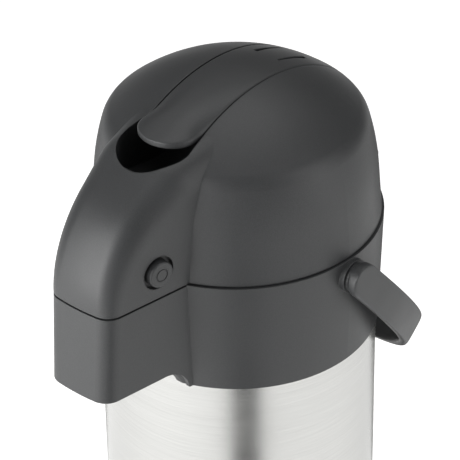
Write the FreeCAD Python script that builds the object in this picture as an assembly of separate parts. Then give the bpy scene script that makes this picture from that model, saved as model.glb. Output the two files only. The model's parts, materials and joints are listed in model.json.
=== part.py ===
import FreeCAD, Part
import math
import os
from FreeCAD import Vector

# Thermal airpot: a vacuum flask with a hinged pump lid, in millimetres.
# The origin is the centre of the foot's underside, +Z is up and the spout beak points along -Y.

# Body and flask
body_radius = 75.0            # outside of the steel shell
body_wall = 0.8
flask_gap = 8.0               # vacuum space between shell and liner
liner_wall = 0.7
liner_bottom = 38.0
shoulder_flat = 8.0           # level part of the shell's shoulder, under the collar's web
neck_radius = 37.0            # outside of the flask's neck
neck_gap = 0.7                # vacuum space in the neck
neck_lip = 2.0                # rolled rim at the mouth
collar_z = 221.0              # underside of the collar above the table

# Foot and base
pad_thickness = 2.0
pad_radius = 62.0
foot_height = 11.0
foot_radius = 73.5
foot_floor = 2.6
foot_gap = 0.8                # running gap between foot and base cup
base_height = 18.0
base_wall = 2.6
bush_radius = 8.0
bush_bore = 3.0
washer_radius = 13.0
washer_thickness = 1.2
washer_room = 2.0             # space round the washer in the foot's recess
screw_depth = 8.0             # how far the screw reaches into the base cup's boss
swivel_head_radius = 6.0
seal_radius = 8.0             # plug that closed the vacuum space

# Moulded parts
wall = 2.5                    # wall of the moulded covers
seam_gap = 0.5                # visible line between collar and lid
beak_seam = 0.7               # how much wider that line is along the beak
fit = 0.3                     # clearance between parts that move past each other
shaft_fit = 0.05              # radial running clearance of a shaft

# Collar
collar_height = 65.3          # collar underside to the lid seam
collar_radius_low = 76.3
collar_radius_top = 78.4
collar_body_fit = 0.2         # clearance round the steel shell
web_z = 36.0                  # web that sits on the flask's shoulder, above the collar's underside
web_thickness = 3.0
ring_height = 8.5             # threaded ring that clamps the web
ring_radius = 46.0
mouth_depth = 15.3            # mouth's rim below the seam
beak_floor = 20.0             # floor that holds the nozzle
boss_root = 8.0               # how far the handle's bosses start inside the collar's outside
boss_step = 1.5               # step of the boss towards the handle's arm
hinge_root = 4.0              # how far the hinge's bridge starts inside the base plate's radius
pipe_room = 1.0               # space round the pipe where it passes the collar

# Lid dome: crown, shoulder and side arcs, then a straight draft down to the seam
lid_height = 83.7             # seam to the top
lid_radius = 77.1
shoulder_radius = 14.15
side_radius = 137.0
crown_angle = math.radians(50.8)      # elevation of the surface normal where two arcs meet
side_angle = math.radians(16.0)
draft_angle = math.radians(4.3)

# Beak: front arc, slope, brow arc and top, all concentric with the body, between two tapering sides
beak_reach = 123.8
beak_front_radius = 64.4
beak_slope_angle = math.radians(57.0)
beak_brow_radius = 30.0
beak_top_angle = math.radians(79.2)
beak_top_height = 71.5        # top surface above the seam, where it leaves the dome
beak_top_at = 50.0
beak_side_distance = 40.6     # body axis to each side plane
beak_side_taper = math.radians(9.36)
beak_corner_low = 10.0        # rounding between sides and front, growing towards the top
beak_corner_top = 17.0
beak_flare = 3.6              # how far the lower front leans out at its bottom edge
beak_bottom = 14.0            # bottom edge above the collar's underside
beak_root = 30.0              # how far from the axis the beak's solid starts, inside the dome
beak_inner = 20.0             # inside radius of the turned solid that the beak is cut from
beak_margin = 50.0            # how far the beak's side planes run on in front of it
beak_arch = 17.0              # arch where the beak's lower edge runs down to the collar
beak_tip_reach = 72.5         # foot of that arch, in front of the axis

# Lever and its well
lever_half_width = 17.0
lever_thickness = 3.0
lever_tip = 66.0              # reach of the tongue in front of the axis
lever_nose = 14.5             # depth of the tongue's rounded end
lever_front_radius = 198.0    # curve of the tongue along its length
lever_rear_z = 35.7           # rear end above the seam
lever_pivot_y = 64.0
lever_pivot_z = 44.7          # above the seam
lever_hub_radius = 5.5
lever_pin_radius = 2.0
lever_gap = 0.6
lever_margin = 6.6            # how far the tongue's solid runs on before it is trimmed
lever_turn = 60.0             # angle in degrees that the tongue's section is turned through
lever_root = 4.0              # how far in front of the pivot the ribs reach their full depth
rib_inside = 9.5              # ribs under the lever
rib_thickness = 2.5
rib_reach = 36.0              # front end of the ribs, in front of the axis
rib_rise = 6.5                # clearance that the ribs' lower edge keeps above the well's floor
well_wall = 2.0
well_floor = 43.7             # above the seam
well_floor_end = 52.0         # where the floor drops away in front of the lever's hinge
scoop_centre = 60.0
scoop_half_width = 20.5
scoop_reach = 82.0
scoop_start = 44.0            # where the well begins to widen into the scoop
scoop_toe = 5.0               # foot of the scoop's front wall, in front of the tongue
scoop_rim = 61.3              # top of the front wall, above the seam
scoop_bulge = 0.16            # how far that wall bulges, as a share of its length
slot_offset = 7.7             # two tapering vent slots through the rear of the lever
slot_start = 25.0
slot_end = 47.0
slot_narrow = 0.6
slot_wide = 1.5

# Pump
stem_radius = 6.0
stem_top = 62.7               # above the seam
stem_hole = 8.0
bellows_radius = 31.0
bellows_inner = 25.0
bellows_wall = 1.2
bellows_turns = 5
bellows_top = 35.7            # above the seam
plate_thickness = 3.0
base_plate_rise = 1.0         # underside of the lid's base plate above the seam
base_plate_thickness = 2.7
base_plate_radius = 72.5
clamp_height = 2.0
clamp_width = 4.5
clamp_gap = 0.5               # space between the bellows and the ring that clamps it
valve_radius = 12.0
valve_thickness = 1.0
air_hole = 9.0
pump_spring_radius = 14.0     # to the middle of the wire, as for the other springs
pump_spring_wire = 1.0        # radius of the wire
pump_spring_turns = 5

# Liquid path
holder_cover = 1.0            # tube holder above the pipe's socket
holder_radius = 38.0
gasket_thickness = 1.5
plug_depth = 6.0
lid_gasket_inner = 20.0
lid_gasket_outer = 26.0
tube_y = -6.0
tube_radius = 5.0
tube_wall = 0.8
tube_foot_gap = 9.0
ball_radius = 3.6
chamber_radius = 4.4
ball_seat = 1.0               # how much narrower than the ball the hole under it is
chamber_step = 1.0            # how far the chamber reaches below a ball that is centred on the pipe
air_way_y = 10.0
pipe_gap = 0.5                # space between the mouth's gasket and the pipe above it
pipe_start = 28.0
pipe_radius = 5.0
pipe_wall = 1.4
pipe_bend = 13.0
pipe_end = 24.0
nozzle_y = -103.0
nozzle_radius = 7.2
nozzle_tip = 9.0
nozzle_top = 36.0
nozzle_edge = 1.0             # rounding of the nozzle's lower edge

# Lid hinge and screws
hinge_knuckle = 4.5
hinge_clearance = 1.1
hinge_pin_radius = 2.0
hinge_half_width = 26.0
hinge_middle = 14.0
screw_x = 46.0
screw_y = 36.0
screw_radius = 1.6
screw_head = 3.2
screw_head_height = 2.0
screw_length = 14.0
screw_boss = 4.0

# Latch buttons
button_radius = 7.3
button_gap = 2.0
button_proud = 2.8
button_depth = 4.4
button_flange = 10.3
button_edge = 1.0             # rounding of the cap's edge
mark_radius = 3.65            # ring mark sunk in the cap
mark_width = 0.6
mark_depth = 0.35
button_y = -90.3
button_z = 15.5               # above the seam
button_stem = 2.4
button_stem_depth = 12.0
button_travel = 3.0
latch_near = 6.0              # latch leg, measured inwards from the beak's side
latch_far = 8.0
latch_toe = 3.3
latch_width = 8.0
latch_reach = 12.3            # how far the latch legs reach below the seam
latch_bridge = 4.0            # height of the bar that joins the leg to the button's flange
catch_depth = 3.0
post_half = 2.5
post_height = 20.0
post_front = 6.0              # how far the post runs in front of the buttons, and behind them
post_rear = 10.0
latch_spring_radius = 3.6
latch_spring_wire = 0.5
latch_spring_turns = 6

# Handle
handle_angle = math.radians(48.85)    # arms below horizontal, towards the rear
handle_pivot_z = 54.6
handle_width = 19.0
handle_reach = 141.5
handle_half_span = 88.5
handle_arm = 5.7
handle_bar = 6.5
handle_exponent = 2.52
handle_stub_radius = 5.0
handle_screw_radius = 1.6
handle_screw_head = 3.2
handle_screw_depth = 10.0
handle_steps = 24             # points along the bail's curve
handle_washer_radius = 7.0
handle_washer_thickness = 1.4

seam_z = collar_z + collar_height
lid_bottom = seam_z + seam_gap / 2
collar_top = seam_z - seam_gap / 2
hinge_y = collar_radius_top + hinge_clearance + hinge_knuckle
shoulder_bend = body_radius - neck_radius - shoulder_flat
foot_top = foot_height
base_z = foot_top + foot_gap
shell_bottom = base_z + base_wall
boss_top = shell_bottom + screw_depth + base_wall
plate_z = seam_z + base_plate_rise
plate_top = plate_z + base_plate_thickness
mouth_z = seam_z - mouth_depth
pipe_z = mouth_z + gasket_thickness + pipe_gap + pipe_radius
holder_top = pipe_z + pipe_radius + holder_cover
pivot_z = seam_z + lever_pivot_z
big = 400.0


def box(x0, x1, y0, y1, z0, z1):
    return Part.makeBox(x1 - x0, y1 - y0, z1 - z0, Vector(x0, y0, z0))


def cylinder(radius, z0, z1, x=0.0, y=0.0):
    return Part.makeCylinder(radius, z1 - z0, Vector(x, y, z0))


def tube(outer, inner, z0, z1, x=0.0, y=0.0):
    return cylinder(outer, z0, z1, x, y).cut(cylinder(inner, z0 - 1, z1 + 1, x, y))


def rod(radius, start, end):
    line = end - start
    return Part.makeCylinder(radius, line.Length, start, line)


def x_rod(radius, x0, x1, y, z):
    return rod(radius, Vector(x0, y, z), Vector(x1, y, z))


def fuse(first, *others):
    return first.multiFuse(list(others)).removeSplitter()


def polar(centre, radius, angle):
    return (centre[0] + radius * math.cos(angle), centre[1] + radius * math.sin(angle))


def wire_of(steps, place):
    """A closed wire from points and ('arc', through, end) steps, each put in space by place(a, b)."""
    edges = []
    here = steps[0]
    for step in steps[1:] + [steps[0]]:
        if step[0] == "arc":
            edges.append(Part.Arc(place(here), place(step[1]), place(step[2])).toShape())
            here = step[2]
        elif math.dist(here, step) > 1e-7:
            edges.append(Part.makeLine(place(here), place(step)))
            here = step
    return Part.Wire(edges)


def spun(steps):
    """A solid of revolution about Z from a profile of (radius, height) steps."""
    face = Part.Face(wire_of(steps, lambda p: Vector(p[0], 0, p[1])))
    return face.revolve(Vector(0, 0, 0), Vector(0, 0, 1), 360)


def side_prism(steps, half_width):
    """A prism across X from a profile of (y, z) steps."""
    face = Part.Face(wire_of(steps, lambda p: Vector(-half_width, p[0], p[1])))
    return face.extrude(Vector(2 * half_width, 0, 0))


def plan_prism(steps, z0, z1):
    """A prism along Z from an outline of (x, y) steps."""
    face = Part.Face(wire_of(steps, lambda p: Vector(p[0], p[1], z0)))
    return face.extrude(Vector(0, 0, z1 - z0))


def arc_step(centre, radius, start, end):
    return ("arc", polar(centre, radius, (start + end) / 2), polar(centre, radius, end))


def mirrored(shape):
    return shape.mirror(Vector(0, 0, 0), Vector(1, 0, 0))


def coil(centre, axis, coil_radius, wire_radius, length, turns):
    """A helical spring from centre along axis, its wire ends cut off flat."""
    helix = Part.makeHelix(length / turns, length, coil_radius)
    circle = Part.makeCircle(wire_radius, Vector(coil_radius, 0, 0), Vector(0, 1, 0))
    sweep = Part.BRepOffsetAPI.MakePipeShell(Part.Wire(helix.Edges))
    sweep.setFrenetMode(True)
    sweep.add(Part.Wire([circle]))
    sweep.build()
    sweep.makeSolid()
    spring = sweep.shape()
    spring.Placement = FreeCAD.Placement(centre, FreeCAD.Rotation(Vector(0, 0, 1), axis))
    return spring


# Dome arcs: the crown's radius and the straight side's length follow from the lid's height and radius.
def solve_dome():
    across = (lid_radius - shoulder_radius * (math.cos(side_angle) - math.cos(crown_angle))
              + side_radius * (math.cos(side_angle) - math.cos(draft_angle)))
    up = (lid_height - shoulder_radius * (math.sin(crown_angle) - math.sin(side_angle))
          - side_radius * (math.sin(side_angle) - math.sin(draft_angle)))
    lift = 1 - math.sin(crown_angle)
    crown = (across - up * math.tan(draft_angle)) / (math.cos(crown_angle) - lift * math.tan(draft_angle))
    return crown


crown_radius = solve_dome()
lid_top = seam_z + lid_height
crown_centre = (0.0, lid_top - crown_radius)
shoulder_centre = polar(crown_centre, crown_radius - shoulder_radius, crown_angle)
side_centre = polar(shoulder_centre, shoulder_radius - side_radius, side_angle)


def dome(inset, bottom=lid_bottom):
    """The lid's dome, shrunk by inset along its normals, standing on the level bottom."""
    draft_top = polar(side_centre, side_radius - inset, draft_angle)
    skirt_radius = draft_top[0] + (draft_top[1] - bottom) * math.tan(draft_angle)
    return spun([
        (0, bottom),
        (skirt_radius, bottom),
        draft_top,
        arc_step(side_centre, side_radius - inset, draft_angle, side_angle),
        arc_step(shoulder_centre, shoulder_radius - inset, side_angle, crown_angle),
        arc_step(crown_centre, crown_radius - inset, crown_angle, math.pi / 2),
    ])


def beak_sides(inset, back, z0, z1):
    """The space between the beak's two tapering side planes, in front of the plane y = -back."""
    front = -beak_reach - beak_margin
    narrow, broad = beak_half(front, inset), beak_half(-back, inset)
    return plan_prism([(-narrow, front), (narrow, front), (broad, -back), (-broad, -back)], z0, z1)


def rounded_corners(beak, low_radius, top_radius):
    """The beak with the edges between its sides and its front rounded, from the bottom up."""
    corners = []
    for edge in beak.Edges:
        lowest = min(vertex.Z for vertex in edge.Vertexes)
        upright = edge.BoundBox.ZLength > wall and lowest - beak.BoundBox.ZMin < 0.01
        if upright and edge.CenterOfMass.y < -beak_reach / 2:
            corners.append(edge)
    return beak.makeFillet(low_radius, top_radius, corners)


def upper_beak(inset):
    """The lid's half of the beak, shrunk by inset, reaching back inside the dome."""
    front_centre = (beak_reach - beak_front_radius, seam_z)
    slope_foot = polar(front_centre, beak_front_radius - inset, beak_slope_angle)
    top_point = (beak_top_at - inset * math.cos(beak_top_angle),
                 seam_z + beak_top_height - inset * math.sin(beak_top_angle))
    slope = (-math.sin(beak_slope_angle), math.cos(beak_slope_angle))
    top = (math.sin(beak_top_angle), -math.cos(beak_top_angle))
    cross = slope[0] * top[1] - slope[1] * top[0]
    along = ((top_point[0] - slope_foot[0]) * top[1] - (top_point[1] - slope_foot[1]) * top[0]) / cross
    corner = (slope_foot[0] + slope[0] * along, slope_foot[1] + slope[1] * along)
    radius = beak_brow_radius - inset
    tangent = radius * math.tan((beak_top_angle - beak_slope_angle) / 2)
    brow_start = (corner[0] - slope[0] * tangent, corner[1] - slope[1] * tangent)
    brow_centre = polar(brow_start, -radius, beak_slope_angle)
    inner_top = top_point[1] + (beak_top_at - beak_inner) / math.tan(beak_top_angle)
    turned = spun([
        (beak_inner, lid_bottom),
        (front_centre[0] + beak_front_radius - inset, lid_bottom),
        arc_step(front_centre, beak_front_radius - inset, 0.0, beak_slope_angle),
        brow_start,
        arc_step(brow_centre, radius, beak_slope_angle, beak_top_angle),
        (beak_inner, inner_top),
    ])
    beak = turned.common(beak_sides(inset, beak_root, lid_bottom - 1, lid_top + 1))
    return rounded_corners(beak, beak_corner_low - inset, beak_corner_top - inset)


def lower_beak(inset):
    """The collar's half of the beak, shrunk by inset, reaching back inside the collar."""
    flare = beak_flare / (collar_height - beak_bottom)
    reach = beak_reach - inset
    turned = spun([
        (beak_inner, collar_z - 1),
        (reach + flare * (collar_height + 1), collar_z - 1),
        (reach, collar_top - beak_seam),
        (beak_inner, collar_top - beak_seam),
    ])
    beak = turned.common(beak_sides(inset, beak_root, collar_z - 2, collar_top + 1))
    return rounded_corners(beak, beak_corner_low - inset, beak_corner_low - inset)


def beak_half(y, inset=0.0):
    """Half the beak's width at y, shrunk by inset."""
    return (beak_side_distance - inset + y * math.sin(beak_side_taper)) / math.cos(beak_side_taper)


def half_ellipse_front(centre_y, half_width, reach, z0, z1):
    """A prism whose front end, before centre_y, is half an ellipse."""
    centre = Vector(0, -centre_y, z0)
    front = Vector(0, -reach, z0)
    side = Vector(half_width, -centre_y, z0)
    if reach - centre_y > half_width:
        ellipse = Part.Ellipse(front, side, centre)
        curve = Part.ArcOfEllipse(ellipse, -math.pi / 2, math.pi / 2).toShape()
    else:
        ellipse = Part.Ellipse(side, front, centre)
        curve = Part.ArcOfEllipse(ellipse, 0, math.pi).toShape()
    ends = [vertex.Point for vertex in curve.Vertexes]
    face = Part.Face(Part.Wire([curve, Part.makeLine(ends[0], ends[1])]))
    return face.extrude(Vector(0, 0, z1 - z0))


# Foot: a turntable with a rubber pad, held by a shouldered bush and a screw under the base cup
def make_foot():
    recess_top = foot_top - foot_floor
    washer_top = recess_top - fit
    washer_bottom = washer_top - washer_thickness
    foot_bottom = pad_thickness / 2
    foot_disc = cylinder(foot_radius, foot_bottom, foot_top)
    foot_disc = foot_disc.cut(cylinder(pad_radius, foot_bottom - 1, pad_thickness))
    foot_disc = foot_disc.cut(cylinder(washer_radius + washer_room, 0, recess_top))
    foot_disc = foot_disc.cut(cylinder(bush_radius + shaft_fit, 0, foot_top + 1))
    foot_disc = foot_disc.makeFillet(foot_bottom, [ring_edge(foot_disc, foot_radius, foot_top)])
    foot_pad = cylinder(pad_radius, 0, pad_thickness)
    swivel_bush = tube(bush_radius, bush_bore, washer_top, base_z)
    swivel_washer = tube(washer_radius, bush_bore, washer_bottom, washer_top)
    head = cylinder(swivel_head_radius, pad_thickness + fit, washer_bottom)
    swivel_screw = fuse(head, cylinder(bush_bore, washer_bottom, shell_bottom + screw_depth))
    return {"foot_disc": foot_disc, "foot_pad": foot_pad, "swivel_bush": swivel_bush,
            "swivel_washer": swivel_washer, "swivel_screw": swivel_screw}


def ring_edge(solid, radius, z):
    """The round edge of a given radius at a given height."""
    for edge in solid.Edges:
        if edge.Curve.TypeId == "Part::GeomCircle" and abs(edge.Curve.Radius - radius) < 1e-6:
            if abs(edge.Curve.Center.z - z) < 1e-6:
                return edge
    raise ValueError("no round edge of radius %g at height %g" % (radius, z))


# Base cup: closes the bottom of the steel shell and carries the turntable's screw
def make_base():
    cup = cylinder(collar_radius_low, base_z, base_z + base_height)
    cup = cup.makeFillet(base_wall / 2, [ring_edge(cup, collar_radius_low, base_z),
                                         ring_edge(cup, collar_radius_low, base_z + base_height)])
    cup = cup.cut(cylinder(body_radius, shell_bottom, base_z + base_height + 1))
    cup = fuse(cup, cylinder(bush_radius, base_z + base_wall / 2, boss_top))
    return {"base_cup": cup.cut(cylinder(bush_bore, base_z - 1, shell_bottom + screw_depth))}


# Vacuum flask: the steel shell with its bottom disc, and the liner that hangs from the mouth, a cup
# welded to the drawn piece that makes its shoulder and neck
def flask_skin(radius, neck, bend, bottom, shoulder_z, top, thickness):
    """A thin bottle: cylinder, quarter-round shoulder and neck, open at both ends."""
    outer_centre = (radius - bend, shoulder_z)
    inner = radius - thickness
    inner_neck = neck - thickness
    return spun([
        (radius, bottom),
        (radius, shoulder_z),
        arc_step(outer_centre, bend, 0.0, math.pi / 2),
        (neck, shoulder_z + bend),
        (neck, top),
        (inner_neck, top),
        (inner_neck, shoulder_z + bend - thickness),
        (radius - bend, shoulder_z + bend - thickness),
        arc_step(outer_centre, bend - thickness, math.pi / 2, 0.0),
        (inner, bottom),
    ])


def make_flask():
    lip_z = mouth_z - neck_lip
    shoulder_z = collar_z + web_z - shoulder_bend
    shell = flask_skin(body_radius, neck_radius, shoulder_bend, shell_bottom, shoulder_z, lip_z,
                       body_wall)
    disc_z = boss_top + fit + body_wall
    bottom_disc = cylinder(body_radius - body_wall, disc_z, disc_z + body_wall * 2)
    liner_radius = body_radius - body_wall - flask_gap
    liner_neck = neck_radius - body_wall - neck_gap
    liner_bend = shoulder_bend - liner_wall * 2
    liner_seam = shoulder_z - flask_gap / 2
    liner = flask_skin(liner_radius, liner_neck, liner_bend, liner_bottom, liner_seam, lip_z, liner_wall)
    above_seam = cylinder(body_radius, liner_seam, mouth_z)
    floor = cylinder(liner_radius, liner_bottom - liner_wall, liner_bottom)
    lip = tube(neck_radius, liner_neck - liner_wall, lip_z, mouth_z)
    seal = cylinder(seal_radius, disc_z - body_wall, disc_z)
    return {"outer_shell": shell, "shell_bottom": bottom_disc, "vacuum_seal": seal,
            "inner_flask": fuse(liner.cut(above_seam), floor),
            "inner_neck": fuse(liner.common(above_seam), lip)}


# Collar: the moulded ring round the shoulder, with the lower half of the beak and the handle's bosses
def make_collar():
    ring = spun([(0, collar_z), (collar_radius_low, collar_z), (collar_radius_top, collar_top),
                 (0, collar_top)])
    arch_start = beak_tip_reach + beak_arch
    under = side_prism([
        (-big, collar_z - 5),
        (-big, collar_z + beak_bottom),
        (-arch_start, collar_z + beak_bottom),
        ("arc", (-arch_start + beak_arch * math.sin(math.pi / 4),
                 collar_z + beak_bottom * math.cos(math.pi / 4)), (-beak_tip_reach, collar_z)),
        (-beak_tip_reach, collar_z - 5),
    ], big)
    above_table = box(-big, big, -big, 0, collar_z, collar_top)
    beak = lower_beak(0).cut(under).common(above_table)
    pivot_height = collar_z + handle_pivot_z
    boss_start = collar_radius_low - boss_root
    boss_end = handle_half_span - handle_arm - fit * 2
    right_boss = x_rod(handle_width / 2, boss_start, boss_end - boss_step, 0, pivot_height)
    right_rim = x_rod(handle_width / 2 - boss_step, boss_start, boss_end, 0, pivot_height)
    knuckle = x_rod(hinge_knuckle, hinge_middle + fit, hinge_half_width, hinge_y, seam_z)
    bridge = box(hinge_middle + fit, hinge_half_width, base_plate_radius - hinge_root, hinge_y,
                 seam_z - hinge_knuckle, collar_top)
    outer = fuse(ring.cut(under.common(beak_sides(0, beak_root, collar_z - fit, collar_z + beak_bottom))),
                 beak, right_boss, mirrored(right_boss), right_rim, mirrored(right_rim),
                 bridge, mirrored(bridge))
    inner_radius = collar_radius_top - wall
    lower_hole = cylinder(body_radius + collar_body_fit, collar_z - 1, collar_z + web_z)
    upper_hole = cylinder(inner_radius, collar_z + web_z + web_thickness, seam_z + 1)
    neck_hole = cylinder(neck_radius + collar_body_fit, collar_z, seam_z)
    ring_wall = cylinder(collar_radius_low, collar_z - 5, seam_z + 1)
    cavity = lower_beak(wall).cut(ring_wall)
    floor = lower_beak(wall).common(box(-big, big, -big, -body_radius, collar_z + beak_floor,
                                        collar_z + beak_floor + wall))
    outer = outer.cut(lower_hole).cut(upper_hole).cut(neck_hole).cut(cavity)
    outer = fuse(outer, floor.cut(lower_hole), knuckle, mirrored(knuckle))
    catch = catch_block()
    outer = fuse(outer, catch, mirrored(catch))
    pipe_window = rod(pipe_radius + pipe_room, Vector(0, -pipe_start, pipe_z), Vector(0, nozzle_y, pipe_z))
    nozzle_hole = cylinder(nozzle_radius, collar_z, collar_z + web_z, 0, nozzle_y)
    stub_hole = x_rod(handle_stub_radius + shaft_fit, -big, big, 0, pivot_height)
    pin_hole = x_rod(hinge_pin_radius, -big, big, hinge_y, seam_z)
    return {"collar": outer.cut(pipe_window).cut(nozzle_hole).cut(stub_hole).cut(pin_hole)}


def button_frame(depth, along=0.0, z=0.0):
    """A point by the right button: depth inwards from the beak's side, along it, above its centre."""
    inwards = Vector(-math.cos(beak_side_taper), math.sin(beak_side_taper), 0)
    across = Vector(math.sin(beak_side_taper), math.cos(beak_side_taper), 0)
    centre = Vector(beak_half(button_y), button_y, seam_z + button_z)
    return centre + inwards * depth + across * along + Vector(0, 0, z)


def side_block(depth0, depth1, width, z0, z1):
    """A block square to the beak's right side, between two depths, centred on the button."""
    corners = [button_frame(depth0, -width / 2), button_frame(depth1, -width / 2),
               button_frame(depth1, width / 2), button_frame(depth0, width / 2)]
    return plan_prism([(point.x, point.y) for point in corners], z0, z1)


def catch_block():
    toe_top = seam_z - latch_reach + catch_depth
    return side_block(wall / 2, latch_toe - fit, latch_width, toe_top + fit, toe_top + fit + catch_depth)


# Tube holder: plugs the mouth, leads air down and coffee up and forward to the spout
def make_liquid_path():
    liner_mouth = neck_radius - body_wall - neck_gap - liner_wall
    flange_z = mouth_z + gasket_thickness
    gasket = tube(neck_radius, liner_mouth, mouth_z, flange_z)
    holder = fuse(cylinder(liner_mouth - fit, mouth_z - plug_depth, flange_z),
                  cylinder(holder_radius, flange_z, holder_top))
    seat_z = pipe_z - chamber_radius - chamber_step
    holder = holder.cut(cylinder(tube_radius, mouth_z - plug_depth - 1, mouth_z, 0, tube_y))
    holder = holder.cut(cylinder(ball_radius - ball_seat, mouth_z - 1, seat_z + 1, 0, tube_y))
    holder = holder.cut(cylinder(chamber_radius, seat_z, pipe_z + chamber_radius, 0, tube_y))
    passage = rod(pipe_radius - pipe_wall, Vector(0, tube_y, pipe_z),
                  Vector(0, -holder_radius - 1, pipe_z))
    socket = rod(pipe_radius, Vector(0, -pipe_start, pipe_z), Vector(0, -holder_radius - 1, pipe_z))
    air_way = cylinder(tube_radius, mouth_z - plug_depth - 1, holder_top + 1, 0, air_way_y)
    holder = holder.cut(passage).cut(socket).cut(air_way)
    ball = Part.makeSphere(ball_radius, Vector(0, tube_y, seat_z + ball_radius))
    dip_tube = tube(tube_radius, tube_radius - tube_wall, liner_bottom + tube_foot_gap, mouth_z, 0, tube_y)
    start = Vector(0, -pipe_start, pipe_z)
    bend_start = Vector(0, nozzle_y + pipe_bend, pipe_z)
    bend_end = Vector(0, nozzle_y, pipe_z - pipe_bend)
    end = Vector(0, nozzle_y, collar_z + pipe_end)
    corner = pipe_bend * (1 - math.sin(math.pi / 4))
    bend_middle = Vector(0, nozzle_y + corner, pipe_z - corner)
    path = Part.Wire([Part.makeLine(start, bend_start),
                      Part.Arc(bend_start, bend_middle, bend_end).toShape(), Part.makeLine(bend_end, end)])
    outside = path.makePipe(Part.Face(Part.Wire(Part.makeCircle(pipe_radius, start, Vector(0, 1, 0)))))
    bore = path.makePipe(Part.Face(Part.Wire(Part.makeCircle(pipe_radius - pipe_wall, start,
                                                            Vector(0, 1, 0)))))
    nozzle = cylinder(nozzle_radius, collar_z + nozzle_tip, collar_z + nozzle_top, 0, nozzle_y)
    nozzle = nozzle.makeFillet(nozzle_edge, [ring_edge(nozzle, nozzle_radius, collar_z + nozzle_tip)])
    nozzle = nozzle.cut(cylinder(pipe_radius - pipe_wall, collar_z, collar_z + web_z, 0, nozzle_y))
    nozzle = nozzle.cut(cylinder(pipe_radius, collar_z + pipe_end, collar_z + nozzle_top + 1, 0, nozzle_y))
    ring_z = collar_z + web_z + web_thickness
    ring = tube(ring_radius, neck_radius, ring_z, ring_z + ring_height)
    return {"mouth_gasket": gasket, "tube_holder": holder, "check_ball": ball, "dip_tube": dip_tube,
            "outlet_pipe": outside.cut(bore), "spout_nozzle": nozzle, "neck_ring": ring}


# Lever: a strip over the dome, flush at the back, with a flatter tongue that stands proud in front
def lever_body(inset):
    rear = dome(inset).common(box(-lever_half_width, lever_half_width, 0, big,
                                  seam_z + lever_rear_z, lid_top))
    front_centre = (0.0, lid_top - lever_front_radius)
    reach = lever_tip + lever_margin
    radius = lever_front_radius - inset
    tilt = math.asin(reach / lever_front_radius)
    front_end = polar(front_centre, radius, math.pi / 2 + tilt)
    profile = wire_of([
        (0.0, crown_centre[1]),
        (0.0, front_centre[1] + radius),
        arc_step(front_centre, radius, math.pi / 2, math.pi / 2 + tilt),
        (front_end[0], crown_centre[1]),
    ], lambda p: Vector(0, p[0], p[1]))
    axis_point = Vector(0, 0, crown_centre[1])
    swept = Part.Face(profile).revolve(axis_point, Vector(0, 1, 0), lever_turn)
    swept = swept.rotate(axis_point, Vector(0, 1, 0), -lever_turn / 2)
    return rear, swept


def make_lever():
    rear, front = lever_body(0)
    rear_inside, front_inside = lever_body(lever_thickness)
    nose_centre = lever_tip - lever_nose
    floor_z = seam_z + well_floor
    outline = fuse(box(-lever_half_width, lever_half_width, -nose_centre, 0, floor_z, lid_top + 1),
                   half_ellipse_front(nose_centre, lever_half_width, lever_tip, floor_z, lid_top + 1))
    front = front.common(outline)
    strip = fuse(front, rear)
    skin = strip.cut(front_inside).cut(rear_inside)
    hub = x_rod(lever_hub_radius, -lever_half_width + fit, lever_half_width - fit, lever_pivot_y, pivot_z)
    rib = side_prism([
        (-rib_reach, seam_z + stem_top + rib_rise),
        (0, seam_z + stem_top + fit),
        (well_floor_end - rib_rise, floor_z + rib_rise),
        (lever_pivot_y - lever_root, pivot_z - lever_hub_radius + lever_gap),
        (lever_pivot_y, pivot_z),
        (body_radius, pivot_z),
        (body_radius, lid_top),
        (-rib_reach, lid_top),
    ], rib_inside + rib_thickness)
    rib = rib.cut(box(-rib_inside, rib_inside, -big, big, 0, big + big)).common(strip)
    boss = cylinder(stem_radius - lever_gap, seam_z + stem_top + fit, lid_top).common(strip)
    lever = fuse(skin, rib, boss, hub)
    for side, start, end in ((-1, slot_wide, slot_narrow), (1, slot_narrow, slot_wide)):
        centre = side * slot_offset
        lever = lever.cut(plan_prism([(centre - start, slot_start), (centre + start, slot_start),
                                      (centre + end, slot_end), (centre - end, slot_end)],
                                     pivot_z + lever_hub_radius, lid_top + 1))
    pin_hole = x_rod(lever_pin_radius + shaft_fit, -big, big, lever_pivot_y, pivot_z)
    pin_end = lever_half_width + lever_gap + well_wall
    pin = x_rod(lever_pin_radius, -pin_end, pin_end, lever_pivot_y, pivot_z)
    return {"lever": lever.cut(pin_hole), "lever_pin": pin}


# Well: the trough that the lever sinks into, opening into the scoop in front of its tongue
def well(grow):
    floor = seam_z + well_floor - grow
    rim = seam_z + scoop_rim
    half = lever_half_width + lever_gap + grow
    wide = scoop_half_width + grow
    low = seam_z + lever_rear_z - lever_thickness - grow
    toe = lever_tip + scoop_toe
    front = scoop_reach + grow
    along, down = front - toe, rim - floor
    bulge = ((toe - front) / 2 + along + down * scoop_bulge, (rim + floor) / 2 + along * scoop_bulge)
    profile = side_prism([
        (-front, big),
        (-front, rim),
        ("arc", (-front + bulge[0], bulge[1]), (-toe, floor)),
        (well_floor_end, floor),
        (well_floor_end, low),
        (big, low),
        (big, big),
    ], wide * 2)
    widening = plan_prism([(-half, -scoop_start), (half, -scoop_start), (wide, -scoop_centre),
                           (-wide, -scoop_centre)], low, big)
    plan = fuse(half_ellipse_front(scoop_centre, wide, front, low, big),
                box(-half, half, -scoop_start, big, low, big), widening)
    return profile.common(plan)


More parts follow.
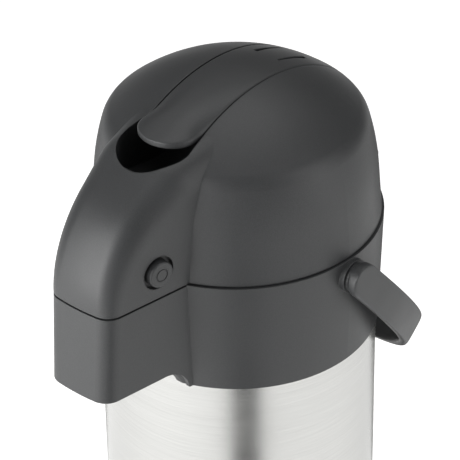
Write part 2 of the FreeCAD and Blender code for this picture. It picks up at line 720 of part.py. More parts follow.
# Lid shell: dome and upper beak in one moulding, with the well, screw bosses and hinge knuckle
def make_lid_shell():
    outside = fuse(dome(0), upper_beak(0))
    inside = fuse(dome(wall), upper_beak(wall))
    shell = outside.cut(inside)
    bosses = [cylinder(screw_boss, plate_top, lid_top, x, y) for x, y in screw_places()]
    inner_parts = fuse(well(well_wall), *bosses).common(outside)
    bridge = box(-hinge_middle, hinge_middle, base_plate_radius, hinge_y, lid_bottom,
                 seam_z + hinge_knuckle)
    bridge = bridge.cut(dome(wall))
    knuckle = x_rod(hinge_knuckle, -hinge_middle, hinge_middle, hinge_y, seam_z)
    shell = fuse(shell, inner_parts, bridge, knuckle).cut(well(0))
    shell = shell.cut(cylinder(stem_hole, plate_top, seam_z + stem_top))
    for x, y in screw_places():
        shell = shell.cut(cylinder(screw_radius, plate_top - 1, plate_top + screw_length, x, y))
    shell = shell.cut(x_rod(lever_pin_radius, -big, big, lever_pivot_y, pivot_z).common(dome(wall)))
    hole = rod(button_radius + button_gap, button_frame(-5), button_frame(button_depth))
    shell = shell.cut(hole).cut(mirrored(hole))
    return {"lid_shell": shell.cut(x_rod(hinge_pin_radius + shaft_fit, -big, big, hinge_y, seam_z))}


def screw_places():
    return [(x, y) for x in (-screw_x, screw_x) for y in (-screw_y, screw_y)]


# Lid base: the plate that closes the lid from below and carries the bellows and the latch post
def make_lid_base():
    hinge_pin = x_rod(hinge_pin_radius, -hinge_half_width, hinge_half_width, hinge_y, seam_z)
    beak_plate = upper_beak(wall + fit).common(box(-big, big, -big, big, plate_z, plate_top))
    disc = cylinder(base_plate_radius, plate_z, plate_top)
    post = box(-post_half, post_half, button_y - post_front, button_y + post_rear, plate_z,
               plate_top + post_height)
    base = fuse(disc, beak_plate.common(box(-big, big, -big, -beak_root, 0, big)), post)
    base = base.cut(cylinder(air_hole, plate_z - 1, plate_top + 1))
    slot = side_block(latch_toe - fit * 2, latch_far + button_travel + fit, latch_width + fit * 2,
                      plate_z - 1, plate_top + 1)
    base = base.cut(slot).cut(mirrored(slot))
    screws = []
    for x, y in screw_places():
        base = base.cut(cylinder(screw_radius, plate_z - 1, plate_top + 1, x, y))
        screws.append(fuse(cylinder(screw_head, plate_z - screw_head_height, plate_z, x, y),
                           cylinder(screw_radius, plate_z - 1, plate_top + screw_length - 1, x, y)))
    gasket = tube(lid_gasket_outer, lid_gasket_inner, holder_top + fit, plate_z)
    valve = cylinder(valve_radius, plate_top, plate_top + valve_thickness)
    clamp_inside = bellows_radius + clamp_gap
    clamp = tube(clamp_inside + clamp_width, clamp_inside, plate_top, plate_top + clamp_height)
    return {"lid_base": base, "lid_hinge_pin": hinge_pin, "lid_screws": Part.makeCompound(screws),
            "lid_gasket": gasket, "air_valve": valve, "bellows_clamp": clamp}


# Pump: bellows, return spring and the plate with its stem
def make_pump():
    top = seam_z + bellows_top
    rise = (top - plate_top - 2 * bellows_wall) / (2 * bellows_turns)
    outer = []
    for fold in range(2 * bellows_turns + 1):
        radius = bellows_radius if fold % 2 == 0 else bellows_inner
        outer.append((radius, plate_top + bellows_wall + fold * rise))
    inner = [(radius - bellows_wall, z) for radius, z in reversed(outer)]
    bottom_rim = [(bellows_radius - bellows_wall, plate_top), (bellows_radius, plate_top)]
    top_rim = [(bellows_radius, top), (bellows_radius - bellows_wall, top)]
    bellows = spun(bottom_rim + outer + top_rim + inner)
    plate = cylinder(bellows_radius, top, top + plate_thickness)
    stem_z = seam_z + stem_top - stem_radius
    stem = fuse(cylinder(stem_radius, top, stem_z), Part.makeSphere(stem_radius, Vector(0, 0, stem_z)))
    spring_z = plate_top + valve_thickness + pump_spring_wire
    spring = coil(Vector(0, 0, spring_z), Vector(0, 0, 1), pump_spring_radius, pump_spring_wire,
                  top - pump_spring_wire - spring_z, pump_spring_turns)
    return {"bellows": bellows, "pump_plate": fuse(plate, stem), "pump_spring": spring}


# Latch buttons: each slides into the beak's side and carries a leg down to the collar's catch
def make_latches():
    centre = seam_z + button_z
    cap = rod(button_radius, button_frame(button_depth - 1), button_frame(-button_proud))
    cap_face = button_frame(-button_proud)
    cap = cap.makeFillet(button_edge, [edge for edge in cap.Edges
                                       if edge.CenterOfMass.distanceToPoint(cap_face) < 0.1])
    mark_floor, mark_top = button_frame(mark_depth - button_proud), button_frame(-button_proud - 1)
    ring_mark = rod(mark_radius, mark_floor, mark_top)
    ring_mark = ring_mark.cut(rod(mark_radius - mark_width, mark_floor, mark_top))
    flange_top = wall + fit
    flange = rod(button_flange, button_frame(button_depth), button_frame(flange_top))
    guide = rod(button_stem, button_frame(button_depth - 1), button_frame(button_stem_depth))
    leg_top = centre - latch_spring_radius - latch_spring_wire - fit
    leg = side_block(latch_near, latch_far, latch_width, seam_z - latch_reach, leg_top)
    bridge = side_block(flange_top, latch_far, latch_width, leg_top - latch_bridge, leg_top)
    toe = side_block(latch_toe, latch_far, latch_width, seam_z - latch_reach,
                     seam_z - latch_reach + catch_depth)
    button = fuse(cap, flange, guide, leg, bridge, toe).cut(ring_mark)
    post_face = (beak_half(button_y) - post_half) / math.cos(beak_side_taper) - latch_spring_radius / 3
    start = button_frame(button_depth + latch_spring_wire)
    length = post_face - button_depth - 3 * latch_spring_wire
    spring = coil(start, button_frame(1) - button_frame(0), latch_spring_radius, latch_spring_wire, length,
                  latch_spring_turns)
    return {"latch_button_right": button, "latch_button_left": mirrored(button),
            "latch_spring_right": spring, "latch_spring_left": mirrored(spring)}


# Handle: a U-shaped bail, its outline a superellipse, on two stubs in the collar's bosses
def handle_outline(half_span, reach, thickness):
    """The bail's plan as a prism: straight lines at the ends and a superellipse between."""
    points = []
    for step in range(handle_steps + 1):
        angle = math.pi * step / handle_steps
        across = math.copysign(abs(math.cos(angle)) ** (2 / handle_exponent), math.cos(angle))
        points.append(Vector(half_span * across, reach * abs(math.sin(angle)) ** (2 / handle_exponent), 0))
    curve = Part.BSplineCurve()
    curve.interpolate(points)
    back = -handle_width
    corners = [points[-1], Vector(-half_span, back, 0), Vector(half_span, back, 0), points[0]]
    sides = [Part.makeLine(a, b) for a, b in zip(corners, corners[1:])]
    face = Part.Face(Part.Wire([curve.toShape()] + sides))
    return face.extrude(Vector(0, 0, thickness))


def make_handle():
    half_width = handle_width / 2
    outer = handle_outline(handle_half_span, handle_reach, handle_width)
    inner = handle_outline(handle_half_span - handle_arm, handle_reach - handle_bar, handle_width)
    ends = box(-big, big, -big, 0, 0, handle_width).cut(x_rod(half_width, -big, big, 0, half_width))
    bail = outer.cut(inner).cut(ends)
    bail.translate(Vector(0, 0, -half_width))
    bail.rotate(Vector(0, 0, 0), Vector(1, 0, 0), -math.degrees(handle_angle))
    pivot_height = collar_z + handle_pivot_z
    bail.translate(Vector(0, 0, pivot_height))
    inner_wall = collar_radius_top - wall
    stub_end = inner_wall - handle_washer_thickness
    stub = x_rod(handle_stub_radius, stub_end, handle_half_span - handle_arm / 2, 0, pivot_height)
    screw_end = stub_end + handle_screw_depth
    bore = x_rod(handle_screw_radius, stub_end - 1, screw_end, 0, pivot_height)
    bail = fuse(bail, stub, mirrored(stub)).cut(bore).cut(mirrored(bore))
    washer = x_rod(handle_washer_radius, stub_end - handle_washer_thickness, stub_end, 0, pivot_height)
    head = x_rod(handle_screw_head, stub_end - 2 * handle_washer_thickness,
                 stub_end - handle_washer_thickness, 0, pivot_height)
    shank = x_rod(handle_screw_radius, stub_end - handle_washer_thickness, screw_end, 0, pivot_height)
    screw = fuse(head, shank, washer)
    return {"handle": bail, "handle_screws": Part.makeCompound([screw, mirrored(screw)])}


os.makedirs("parts", exist_ok=True)
makers = (make_foot, make_base, make_flask, make_collar, make_liquid_path, make_lid_shell, make_lid_base,
          make_pump, make_lever, make_latches, make_handle)
for maker in makers:
    for name, shape in maker().items():
        solids = shape.Solids
        if not shape.isValid() or not solids:
            raise ValueError("%s is not a valid solid" % name)
        shape.exportStep("parts/%s.step" % name)
        print("%-20s %d solid(s) %10.0f mm3" % (name, len(solids), sum(s.Volume for s in solids)))
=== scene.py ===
import json
import math

import bpy
import numpy as np
from mathutils import Matrix, Vector


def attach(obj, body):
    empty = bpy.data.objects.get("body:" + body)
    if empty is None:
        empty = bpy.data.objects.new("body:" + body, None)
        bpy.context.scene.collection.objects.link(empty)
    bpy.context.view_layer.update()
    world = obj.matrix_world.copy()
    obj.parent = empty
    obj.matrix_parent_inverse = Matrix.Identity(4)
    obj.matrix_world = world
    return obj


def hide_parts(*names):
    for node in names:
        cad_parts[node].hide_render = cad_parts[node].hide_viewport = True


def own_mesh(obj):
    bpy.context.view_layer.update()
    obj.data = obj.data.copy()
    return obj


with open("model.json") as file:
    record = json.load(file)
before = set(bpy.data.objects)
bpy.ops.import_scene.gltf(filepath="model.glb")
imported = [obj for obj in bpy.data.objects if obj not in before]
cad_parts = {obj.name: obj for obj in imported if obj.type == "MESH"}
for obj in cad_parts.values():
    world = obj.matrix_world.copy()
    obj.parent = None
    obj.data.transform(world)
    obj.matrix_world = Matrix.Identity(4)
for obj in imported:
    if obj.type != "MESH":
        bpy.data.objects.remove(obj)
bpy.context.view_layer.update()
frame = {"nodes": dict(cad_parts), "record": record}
mm = 0.001
print("frame loaded:", len(frame["nodes"]), "nodes")


# Node trees: one small function adds a node, sets its inputs and makes its links
def linearColour(hexText):
    parts = [int(hexText[i:i + 2], 16) / 255 for i in (1, 3, 5)]
    return tuple(p / 12.92 if p <= 0.04045 else ((p + 0.055) / 1.055) ** 2.4 for p in parts) + (1.0,)


def addNode(tree, kind, inputs=None, **settings):
    node = tree.nodes.new(kind)
    for key, value in settings.items():
        setattr(node, key, value)
    for key, value in (inputs or {}).items():
        if isinstance(value, bpy.types.NodeSocket):
            tree.links.new(value, node.inputs[key])
        else:
            node.inputs[key].default_value = value
    return node


def newMaterial(name):
    material = bpy.data.materials.new(name)
    material.use_nodes = True
    tree = material.node_tree
    tree.nodes.clear()
    return material, tree


# ABS, injection moulded in a spark-eroded tool: a fine even texture breaks the gloss up, edges are soft
def makeAbs(name, look):
    material, tree = newMaterial(name)
    where = addNode(tree, "ShaderNodeTexCoord").outputs["Object"]
    grain = addNode(tree, "ShaderNodeTexNoise", {
        "Vector": where, "Scale": 1 / (look["grainMm"] * mm), "Detail": 3.0,
        "Roughness": 0.6}).outputs["Fac"]
    patches = addNode(tree, "ShaderNodeTexNoise", {
        "Vector": where, "Scale": 1 / (look["patchMm"] * mm), "Detail": 3.0}).outputs["Fac"]
    soft = addNode(tree, "ShaderNodeBevel", {"Radius": look["edgeMm"] * mm}, samples=6).outputs["Normal"]
    bump = addNode(tree, "ShaderNodeBump", {
        "Strength": look["grainStrength"], "Distance": look["grainDepthMm"] * mm, "Height": grain,
        "Normal": soft}).outputs["Normal"]
    speckle = addNode(tree, "ShaderNodeMapRange", {
        "Value": grain, "From Min": 0.35, "From Max": 0.7}).outputs["Result"]
    speckled = addNode(tree, "ShaderNodeMix", {
        0: speckle, 6: linearColour(look["colour"]), 7: linearColour(look["paler"])},
        data_type="RGBA").outputs[2]
    cloud = addNode(tree, "ShaderNodeMapRange", {
        "Value": patches, "From Min": 0.3, "From Max": 0.7, "To Max": look["patchAmount"]}).outputs["Result"]
    colour = addNode(tree, "ShaderNodeMix", {
        0: cloud, 6: speckled, 7: linearColour(look["paler"])}, data_type="RGBA").outputs[2]
    rough = addNode(tree, "ShaderNodeMapRange", {
        "Value": patches, "From Min": 0.3, "From Max": 0.7, "To Min": look["roughness"] - 0.03,
        "To Max": look["roughness"] + 0.04}).outputs["Result"]
    shader = addNode(tree, "ShaderNodeBsdfPrincipled", {
        "Base Color": colour, "Roughness": rough, "Normal": bump, "IOR": look["ior"]})
    addNode(tree, "ShaderNodeOutputMaterial", {"Surface": shader.outputs["BSDF"]})
    return material


# Stainless steel, brushed round the body: hair-fine scratches round it stretch every reflection upright
def makeBrushedSteel(name, look):
    material, tree = newMaterial(name)
    where = addNode(tree, "ShaderNodeTexCoord").outputs["Object"]
    around, upright = 1 / (look["scratchLengthMm"] * mm), 1 / (look["scratchWidthMm"] * mm)
    drawn = addNode(tree, "ShaderNodeMapping", {
        "Vector": where, "Scale": (around, around, upright)}).outputs["Vector"]
    fine = addNode(tree, "ShaderNodeTexNoise", {
        "Vector": drawn, "Scale": 1.0, "Detail": 3.0, "Roughness": 0.7}).outputs["Fac"]
    smudge = addNode(tree, "ShaderNodeTexNoise", {
        "Vector": where, "Scale": 1 / (look["smudgeMm"] * mm), "Detail": 2.0}).outputs["Fac"]
    tone = addNode(tree, "ShaderNodeMapRange", {
        "Value": fine, "From Min": 0.3, "From Max": 0.7}).outputs["Result"]
    colour = addNode(tree, "ShaderNodeMix", {
        0: tone, 6: linearColour(look["colour"]), 7: linearColour(look["paler"])},
        data_type="RGBA").outputs[2]
    hazy = addNode(tree, "ShaderNodeMath", {0: tone, 1: 0.5}, operation="MULTIPLY_ADD")
    tree.links.new(smudge, hazy.inputs[2])
    rough = addNode(tree, "ShaderNodeMapRange", {
        "Value": hazy.outputs["Value"], "From Min": 0.4, "From Max": 1.1, "To Min": look["roughness"] - 0.03,
        "To Max": look["roughness"] + 0.06}).outputs["Result"]
    bump = addNode(tree, "ShaderNodeBump", {
        "Strength": 0.25, "Distance": look["scratchDepthMm"] * mm, "Height": fine}).outputs["Normal"]
    tangent = addNode(tree, "ShaderNodeTangent", direction_type="RADIAL", axis="Z").outputs["Tangent"]
    shader = addNode(tree, "ShaderNodeBsdfPrincipled", {
        "Base Color": colour, "Metallic": 1.0, "Roughness": rough, "Normal": bump, "Tangent": tangent,
        "Anisotropic": look["anisotropy"]})
    addNode(tree, "ShaderNodeOutputMaterial", {"Surface": shader.outputs["BSDF"]})
    return material


# Drawn or turned steel: faint tool marks and an even satin gloss
def makeSatinSteel(name, look):
    material, tree = newMaterial(name)
    where = addNode(tree, "ShaderNodeTexCoord").outputs["Object"]
    marks = addNode(tree, "ShaderNodeTexNoise", {
        "Vector": where, "Scale": 1 / (look["markMm"] * mm), "Detail": 3.0}).outputs["Fac"]
    colour = addNode(tree, "ShaderNodeMix", {
        0: marks, 6: linearColour(look["colour"]), 7: linearColour(look["paler"])},
        data_type="RGBA").outputs[2]
    rough = addNode(tree, "ShaderNodeMapRange", {
        "Value": marks, "To Min": look["roughness"], "To Max": look["roughness"] + 0.12}).outputs["Result"]
    bump = addNode(tree, "ShaderNodeBump", {
        "Strength": 0.2, "Distance": look["markDepthMm"] * mm, "Height": marks}).outputs["Normal"]
    shader = addNode(tree, "ShaderNodeBsdfPrincipled", {
        "Base Color": colour, "Metallic": 1.0, "Roughness": rough, "Normal": bump})
    addNode(tree, "ShaderNodeOutputMaterial", {"Surface": shader.outputs["BSDF"]})
    return material


# Moulded silicone or rubber: matte, with a dusty bloom and a faint sheen
def makeRubber(name, look):
    material, tree = newMaterial(name)
    where = addNode(tree, "ShaderNodeTexCoord").outputs["Object"]
    bloom = addNode(tree, "ShaderNodeTexNoise", {
        "Vector": where, "Scale": 1 / (look["bloomMm"] * mm), "Detail": 4.0}).outputs["Fac"]
    share = addNode(tree, "ShaderNodeMapRange", {
        "Value": bloom, "From Min": 0.35, "From Max": 0.75}).outputs["Result"]
    colour = addNode(tree, "ShaderNodeMix", {
        0: share, 6: linearColour(look["colour"]), 7: linearColour(look["paler"])},
        data_type="RGBA").outputs[2]
    bump = addNode(tree, "ShaderNodeBump", {
        "Strength": 0.3, "Distance": look["bloomDepthMm"] * mm, "Height": bloom}).outputs["Normal"]
    shader = addNode(tree, "ShaderNodeBsdfPrincipled", {
        "Base Color": colour, "Roughness": look["roughness"], "Normal": bump, "Sheen Weight": 0.15})
    addNode(tree, "ShaderNodeOutputMaterial", {"Surface": shader.outputs["BSDF"]})
    return material


absLook = {"colour": "#28292a", "paler": "#343536", "grainMm": 0.55, "patchMm": 30.0, "patchAmount": 0.3,
           "edgeMm": 0.7, "grainStrength": 0.4, "grainDepthMm": 0.10, "roughness": 0.46, "ior": 1.5}
absCollar = makeAbs("absTextured", absLook)
absLid = makeAbs("absTexturedSoftEdge", dict(absLook, edgeMm=1.0))
polypropylene = makeAbs("polypropyleneInner", dict(
    absLook, colour="#c9c8c2", paler="#d6d5cf", grainMm=0.9, edgeMm=0.4, roughness=0.42))
brushedSteel = makeBrushedSteel("stainlessBrushed", {
    "colour": "#b6b6b4", "paler": "#cacac8", "scratchLengthMm": 45.0, "scratchWidthMm": 0.19,
    "smudgeMm": 60.0, "roughness": 0.2, "scratchDepthMm": 0.01, "anisotropy": 0.85})
drawnSteel = makeSatinSteel("stainlessDrawn", {
    "colour": "#a8a8a4", "paler": "#c6c6c2", "markMm": 3.0, "markDepthMm": 0.02, "roughness": 0.3})
turnedSteel = makeSatinSteel("steelTurned", {
    "colour": "#8f8f8d", "paler": "#b3b3b0", "markMm": 0.6, "markDepthMm": 0.02, "roughness": 0.26})
silicone = makeRubber("siliconeMoulded", {
    "colour": "#aeaca4", "paler": "#bdbbb3", "bloomMm": 2.0, "bloomDepthMm": 0.05, "roughness": 0.55})
padRubber = makeRubber("rubberMoulded", {
    "colour": "#1c1c1d", "paler": "#2b2b2c", "bloomMm": 1.2, "bloomDepthMm": 0.05, "roughness": 0.75})
slotLooks = {"abs_black": absCollar, "pp_inner": polypropylene, "brushed_shell": brushedSteel,
             "flask_steel": drawnSteel, "steel_hardware": turnedSteel, "spring_steel": turnedSteel,
             "silicone": silicone, "rubber_pad": padRubber}


def dress(piece, material):
    piece.data.materials.clear()
    piece.data.materials.append(material)


for entry in frame["record"]["subparts"]:
    dress(frame["nodes"][entry["node"]], slotLooks[entry["material_slot"]])
dress(frame["nodes"]["lid_shell"], absLid)
print("materials assigned")


# Bellows and springs between the pieces that press them get meshes of their own: joint, axis, still end,
# share left
squeezed = {
    "bellows": ("pump_stroke", (0, 0, 1), (0, 0, 290.0), 0.672),
    "pump_spring": ("pump_stroke", (0, 0, 1), (0, 0, 291.0), 0.661),
    "latch_spring_right": ("latch_right_press", (-0.98669, 0.16264, 0), (4.177, -86.66, 301.8), 0.833),
    "latch_spring_left": ("latch_left_press", (0.98669, 0.16264, 0), (-4.177, -86.66, 301.8), 0.833)}
for name, (joint, axis, still, left) in squeezed.items():
    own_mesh(frame["nodes"][name])
print("springs set:", len(squeezed))


# New pieces are numpy grids turned into meshes
def tubeFaces(rings, around):
    ring, step = np.meshgrid(np.arange(rings - 1), np.arange(around), indexing="ij")
    after = (step + 1) % around
    quads = np.stack([ring * around + step, ring * around + after,
                      (ring + 1) * around + after, (ring + 1) * around + step], axis=-1)
    return quads.reshape(-1, 4)


def closedTube(name, grid, material, body, sharpDegrees=40.0):
    # grid is rings x around x 3 in metres, and each end is closed by a fan round its middle
    rings, around = grid.shape[:2]
    middles = np.stack([grid[0].mean(axis=0), grid[-1].mean(axis=0)])
    points = np.concatenate([grid.reshape(-1, 3), middles])
    step = np.arange(around)
    after = (step + 1) % around
    first, last = rings * around, rings * around + 1
    startFan = np.stack([np.full(around, first), after, step], axis=-1)
    endFan = np.stack([np.full(around, last), (rings - 1) * around + step,
                       (rings - 1) * around + after], axis=-1)
    mesh = bpy.data.meshes.new(name)
    faces = tubeFaces(rings, around).tolist() + startFan.tolist() + endFan.tolist()
    mesh.from_pydata(points.tolist(), [], faces)
    mesh.validate()
    mesh.polygons.foreach_set("use_smooth", np.ones(len(mesh.polygons), dtype=bool))
    mesh.set_sharp_from_angle(angle=math.radians(sharpDegrees))
    mesh.update()
    piece = bpy.data.objects.new(name, mesh)
    bpy.context.collection.objects.link(piece)
    dress(piece, material)
    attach(piece, body)
    return piece


def outwards(piece):
    # turn the faces round if the enclosed volume comes out negative
    mesh = piece.data
    points = np.empty(len(mesh.vertices) * 3)
    mesh.vertices.foreach_get("co", points)
    points = points.reshape(-1, 3)
    mesh.calc_loop_triangles()
    corners = np.empty(len(mesh.loop_triangles) * 3, dtype=np.int32)
    mesh.loop_triangles.foreach_get("vertices", corners)
    a, b, c = (points[corners.reshape(-1, 3)[:, i]] for i in range(3))
    if np.einsum("ij,ij->i", a, np.cross(b, c)).sum() < 0:
        mesh.flip_normals()


# Lever cover: flush with the dome at the rear, pillowed and proud over its front tongue
lever = {"halfWidth": 17.0, "tip": -66.0, "nose": 14.5, "frontRadius": 198.0, "top": 370.0, "lip": 358.8,
         "domeRadius": 103.762, "shoulderRadius": 14.15, "shoulderAt": (56.637, 335.682),
         "sideRadius": 137.0, "sideAt": (-61.454, 301.820), "crownEnd": 50.8, "sideStart": 16.0,
         "rearZ": 322.0, "thickness": 3.0, "edgeRound": 1.3, "around": 40, "slotHalf": (0.6, 1.5),
         "slotX": 7.7, "slotY": (25.0, 47.0), "turnStart": 25, "turnLength": 30, "lipBlend": 1.2,
         "pillowLength": 42, "cutterZ": (330.0, 380.0), "rows": (14, 16, 50, 70),
         "edgeDepth": 0.6}


def leverStations():
    # rows of (y, z, normal y, normal z) on the centre line, from the rear end over the top to the tip
    centreZ = lever["top"] - lever["domeRadius"]
    low = math.asin((lever["rearZ"] - lever["sideAt"][1]) / lever["sideRadius"])
    sideRows, bendRows, crownRows, tongueRows = lever["rows"]
    side = np.linspace(low, math.radians(lever["sideStart"]), sideRows, endpoint=False)
    bend = np.linspace(math.radians(lever["sideStart"]), math.radians(lever["crownEnd"]), bendRows,
                       endpoint=False)
    crown = np.linspace(math.radians(lever["crownEnd"]), math.pi / 2, crownRows, endpoint=False)
    rows = [np.stack([c[0] + r * np.cos(a), c[1] + r * np.sin(a), np.cos(a), np.sin(a)], axis=-1)
            for c, r, a in ((lever["sideAt"], lever["sideRadius"], side),
                            (lever["shoulderAt"], lever["shoulderRadius"], bend),
                            ((0.0, centreZ), lever["domeRadius"], crown))]
    ease = np.linspace(0, math.pi / 2, tongueRows)
    y = (lever["tip"] + 0.05) * np.sin(ease)
    z = lever["top"] - lever["frontRadius"] + np.sqrt(lever["frontRadius"] ** 2 - y ** 2)
    rows.append(np.stack([y, z, y * 0, y * 0 + 1], axis=-1))
    return np.concatenate(rows)


def makeLever():
    rows = leverStations()
    y0, z0, ny, nz = (rows[:, i:i + 1] for i in range(4))
    centreZ = lever["top"] - lever["domeRadius"]
    noseStart = lever["tip"] + lever["nose"]
    past = np.clip((noseStart - y0) / lever["nose"], 0, 0.9999)
    width = lever["halfWidth"] * np.sqrt(1 - past ** 2)
    across = -np.cos(np.linspace(0, math.pi, lever["around"]))[None, :]
    x = width * across
    turned = np.clip((y0 - lever["turnStart"]) / lever["turnLength"], 0, 1)
    turned = turned * turned * (3 - 2 * turned)
    y = y0 - turned * (y0 - np.sqrt(np.maximum(y0 ** 2 - x ** 2, 0)))
    reach = np.sqrt(x ** 2 + y ** 2)
    domeZ = centreZ + np.sqrt(np.maximum(lever["domeRadius"] ** 2 - reach ** 2, 0))
    edgeReach = np.sqrt(lever["halfWidth"] ** 2 + y0 ** 2)
    edgeDome = centreZ + np.sqrt(np.maximum(lever["domeRadius"] ** 2 - edgeReach ** 2, 0))
    lip = lever["lip"]
    # softened maximum: lip + log(1 + exp(k (edge - lip))) / k
    edgeZ = lip + np.log1p(np.exp((edgeDome - lip) * lever["lipBlend"])) / lever["lipBlend"]
    drop = np.maximum(z0 - edgeZ, 0.0)
    power = 2.0 + np.clip(-y0 / lever["pillowLength"], 0, 1)
    pillow = z0 - drop * np.abs(across) ** power
    topZ = np.where(turned >= 1, z0 + 0 * x, np.where(y0 > 0, domeZ, pillow))
    inset = np.clip((np.abs(x) - (width - lever["edgeRound"])) / lever["edgeRound"], 0, 1)
    sunk = lever["edgeRound"] * (1 - np.sqrt(1 - inset ** 2 * 0.98)) * lever["edgeDepth"]
    turn = turned * np.where(y0 > 1, x / np.maximum(y0, 1), 0)
    normal = np.stack([ny * turn, ny * np.sqrt(np.maximum(1 - turn ** 2, 0)), nz + 0 * x], axis=-1)
    top = np.stack([x, y, topZ], axis=-1) - normal * sunk[..., None]
    bottom = np.stack([x, y, topZ], axis=-1) - normal * lever["thickness"]
    return closedTube("leverCover", np.concatenate([top, bottom[:, ::-1]], axis=1) * mm,
                      absCollar, "lever", 50.0)


def prismMesh(name, corners, z0, z1):
    count = len(corners)
    outline = np.array(corners)
    points = np.concatenate([np.insert(outline, 2, z0, axis=1), np.insert(outline, 2, z1, axis=1)]) * mm
    step = np.arange(count)
    after = (step + 1) % count
    sides = np.stack([step, after, after + count, step + count], axis=-1)
    mesh = bpy.data.meshes.new(name)
    mesh.from_pydata(points.tolist(), [], sides.tolist() + [step[::-1].tolist(), (step + count).tolist()])
    return bpy.data.objects.new(name, mesh)


def cutSlots(piece):
    narrow, wide = lever["slotHalf"]
    start, end = lever["slotY"]
    for side, first, last in ((-1, wide, narrow), (1, narrow, wide)):
        middle = side * lever["slotX"]
        cutter = prismMesh("slotCutter", [(middle - first, start), (middle + first, start),
                                          (middle + last, end), (middle - last, end)],
                           *lever["cutterZ"])
        bpy.context.collection.objects.link(cutter)
        modifier = piece.modifiers.new("slot", "BOOLEAN")
        modifier.operation = "DIFFERENCE"
        modifier.solver = "EXACT"
        modifier.object = cutter
        bpy.context.view_layer.update()
        evaluated = piece.evaluated_get(bpy.context.evaluated_depsgraph_get())
        cut = bpy.data.meshes.new_from_object(evaluated)
        piece.modifiers.clear()
        piece.data = cut
        bpy.data.objects.remove(cutter)
    piece.data.set_sharp_from_angle(angle=math.radians(50))


leverCover = makeLever()
outwards(leverCover)
cutSlots(leverCover)
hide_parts("lever")
print("lever made:", len(leverCover.data.polygons), "faces")


# Handle: a bail whose outline is a superellipse, with a rounded rectangular section and round ends
handle = {"width": 19.0, "reach": 141.5, "halfSpan": 88.5, "arm": 5.7, "bar": 6.5, "exponent": 2.52,
          "pivotZ": 275.6, "angle": 48.85, "squareness": 5.0, "stations": 220, "samples": 6001,
          "endRings": 14, "around": 48}


def superEllipse(span, reach, angle):
    power = 2 / handle["exponent"]
    c, s = np.cos(angle), np.sin(angle)
    return np.stack([span * np.sign(c) * np.abs(c) ** power, reach * np.abs(s) ** power], axis=-1)


def makeHandle():
    # equal steps along the outline, then the section turns with it
    many = superEllipse(handle["halfSpan"], handle["reach"], np.linspace(0, math.pi, handle["samples"]))
    many = np.concatenate([[[handle["halfSpan"], -handle["width"] / 2]], many,
                           [[-handle["halfSpan"], -handle["width"] / 2]]])
    length = np.concatenate([[0], np.cumsum(np.linalg.norm(np.diff(many, axis=0), axis=1))])
    total = length[-1]
    ends = handle["width"] / 2 * (1 - np.cos(np.linspace(0, math.pi / 2, handle["endRings"])))
    middle = np.linspace(ends[-1], total - ends[-1], handle["stations"])[1:-1]
    places = np.concatenate([ends, middle, total - ends[::-1]])
    x = np.interp(places, length, many[:, 0])
    y = np.interp(places, length, many[:, 1])
    line = np.stack([x, y], axis=-1)
    along = np.gradient(line, places, axis=0)
    along[:3], along[-3:] = (0.0, 1.0), (0.0, -1.0)
    along /= np.linalg.norm(along, axis=1, keepdims=True)
    inward = np.stack([-along[:, 1], along[:, 0]], axis=-1)
    near = np.minimum(places, total - places)
    half = handle["width"] / 2
    halfWidth = np.sqrt(np.maximum(half ** 2 - np.clip(half - near, 0, half) ** 2, 0.01))
    sideways = np.abs(along[:, 1])
    thick = handle["arm"] * sideways + handle["bar"] * (1 - sideways)
    t = np.linspace(0, 2 * math.pi, handle["around"], endpoint=False)
    flat = handle["squareness"]
    edgeIn = np.sign(np.cos(t)) * np.abs(np.cos(t)) ** (2 / flat)
    edgeUp = np.sign(np.sin(t)) * np.abs(np.sin(t)) ** (2 / flat)
    depth = thick[:, None] / 2 * (1 - edgeIn[None, :])
    high = halfWidth[:, None] * edgeUp[None, :]
    px = line[:, 0:1] + inward[:, 0:1] * depth
    py = line[:, 1:2] + inward[:, 1:2] * depth
    turn = Matrix.Rotation(-math.radians(handle["angle"]), 3, "X")
    grid = np.stack([px, py, high], axis=-1) @ np.array(turn).T
    grid[..., 2] += handle["pivotZ"]
    return closedTube("bailHandle", grid * mm, absCollar, "handle", 60.0)


bailHandle = makeHandle()
outwards(bailHandle)
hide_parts("handle")
print("handle made:", len(bailHandle.data.polygons), "faces")


# Stage: a plain pale floor, soft boxes and a pale room
floorSize = 6.0
floorMesh = bpy.data.meshes.new("floor")
floorMesh.from_pydata([(-floorSize, -floorSize, 0), (floorSize, -floorSize, 0), (floorSize, floorSize, 0),
                       (-floorSize, floorSize, 0)], [], [(0, 1, 2, 3)])
floor = bpy.data.objects.new("floor", floorMesh)
bpy.context.collection.objects.link(floor)
floorMaterial, floorTree = newMaterial("floorPale")
floorShader = addNode(floorTree, "ShaderNodeBsdfPrincipled", {
    "Base Color": linearColour("#f4f4f3"), "Roughness": 0.8, "Emission Color": (1.0, 1.0, 1.0, 1.0),
    "Emission Strength": 0.55})
addNode(floorTree, "ShaderNodeOutputMaterial", {"Surface": floorShader.outputs["BSDF"]})
dress(floor, floorMaterial)

cameraAzimuth = -48.8
cardSteps = 8
cardLift = 0.0005


# Dark cards lying on the floor give the steel an upright dark band and dark edges, in reflections only
def darkCard(name, turnFrom, turnTo, near, far):
    turns = np.radians(cameraAzimuth + np.linspace(turnFrom, turnTo, cardSteps + 1))
    ring = np.stack([np.cos(turns), np.sin(turns), turns * 0], axis=-1)
    points = np.concatenate([ring * near, ring * far]) + (0, 0, cardLift)
    step = np.arange(cardSteps)
    quads = np.stack([step, step + 1, step + cardSteps + 2, step + cardSteps + 1], axis=-1)
    mesh = bpy.data.meshes.new(name)
    mesh.from_pydata(points.tolist(), [], quads.tolist())
    card = bpy.data.objects.new(name, mesh)
    bpy.context.collection.objects.link(card)
    card.visible_camera = False
    card.visible_diffuse = False
    card.visible_shadow = False
    dress(card, cardMaterial)


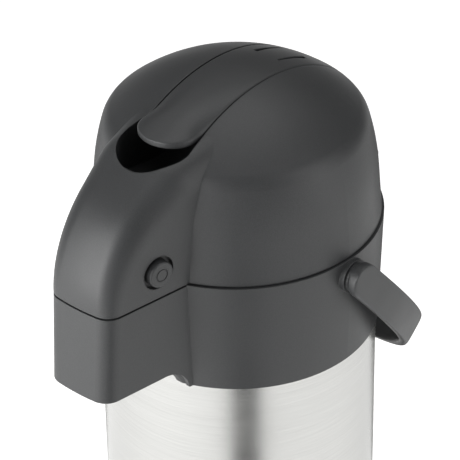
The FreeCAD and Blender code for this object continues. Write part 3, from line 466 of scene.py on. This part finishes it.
cardMaterial, cardTree = newMaterial("cardBlackFelt")
cardShader = addNode(cardTree, "ShaderNodeBsdfPrincipled", {
    "Base Color": linearColour("#0c0c0c"), "Roughness": 0.9})
addNode(cardTree, "ShaderNodeOutputMaterial", {"Surface": cardShader.outputs["BSDF"]})
# each card: where it starts and ends, in degrees round from the camera, and its near and far reach
cards = {"cardFront": (-6.0, 15.0, 0.08, 1.4), "cardLeftEdge": (-158.0, -140.0, 0.10, 0.9),
         "cardRightEdge": (136.0, 158.0, 0.10, 0.9)}
for name, (turnFrom, turnTo, near, far) in cards.items():
    darkCard(name, turnFrom, turnTo, near, far)
lampAim = 0.24
boxes = {
    "leftBox": {"turn": -58.0, "distance": 1.25, "height": 0.50, "size": (0.8, 1.2), "power": 22.0},
    "rightBox": {"turn": 66.0, "distance": 1.25, "height": 0.75, "size": (0.8, 1.4), "power": 7.0},
    "topBox": {"turn": 170.0, "distance": 0.35, "height": 1.7, "size": (1.3, 1.3), "power": 8.0},
}
for name, box in boxes.items():
    light = bpy.data.lights.new(name, "AREA")
    light.shape = "RECTANGLE"
    light.size, light.size_y = box["size"]
    light.energy = box["power"]
    lamp = bpy.data.objects.new(name, light)
    bpy.context.collection.objects.link(lamp)
    azimuth = math.radians(cameraAzimuth + box["turn"])
    place = Vector((box["distance"] * math.cos(azimuth), box["distance"] * math.sin(azimuth), box["height"]))
    lamp.location = place
    lamp.rotation_euler = (Vector((0, 0, lampAim)) - place).to_track_quat("-Z", "Y").to_euler()

world = bpy.data.worlds.new("studio")
bpy.context.scene.world = world
world.use_nodes = True
world.node_tree.nodes.clear()
background = addNode(world.node_tree, "ShaderNodeBackground", {
    "Color": (1.0, 1.0, 1.0, 1.0), "Strength": 0.2})
addNode(world.node_tree, "ShaderNodeOutputWorld", {"Surface": background.outputs["Background"]})

camera = {"place": (0.7905, -0.9030, 1.0781), "aim": (0.0, 0.0, 0.2698), "lens": 211.5, "shiftX": -0.01565,
          "roll": -0.74}
cameraData = bpy.data.cameras.new("camera")
cameraData.lens = camera["lens"]
cameraData.sensor_width = 36.0
cameraData.shift_x = camera["shiftX"]
eye = bpy.data.objects.new("camera", cameraData)
bpy.context.collection.objects.link(eye)
aim = (Vector(camera["aim"]) - Vector(camera["place"])).to_track_quat("-Z", "Y").to_matrix().to_4x4()
roll = Matrix.Rotation(math.radians(camera["roll"]), 4, "Z")
eye.matrix_world = Matrix.Translation(camera["place"]) @ aim @ roll
bpy.context.scene.camera = eye
bpy.context.scene.view_settings.view_transform = "Standard"
print("stage set")
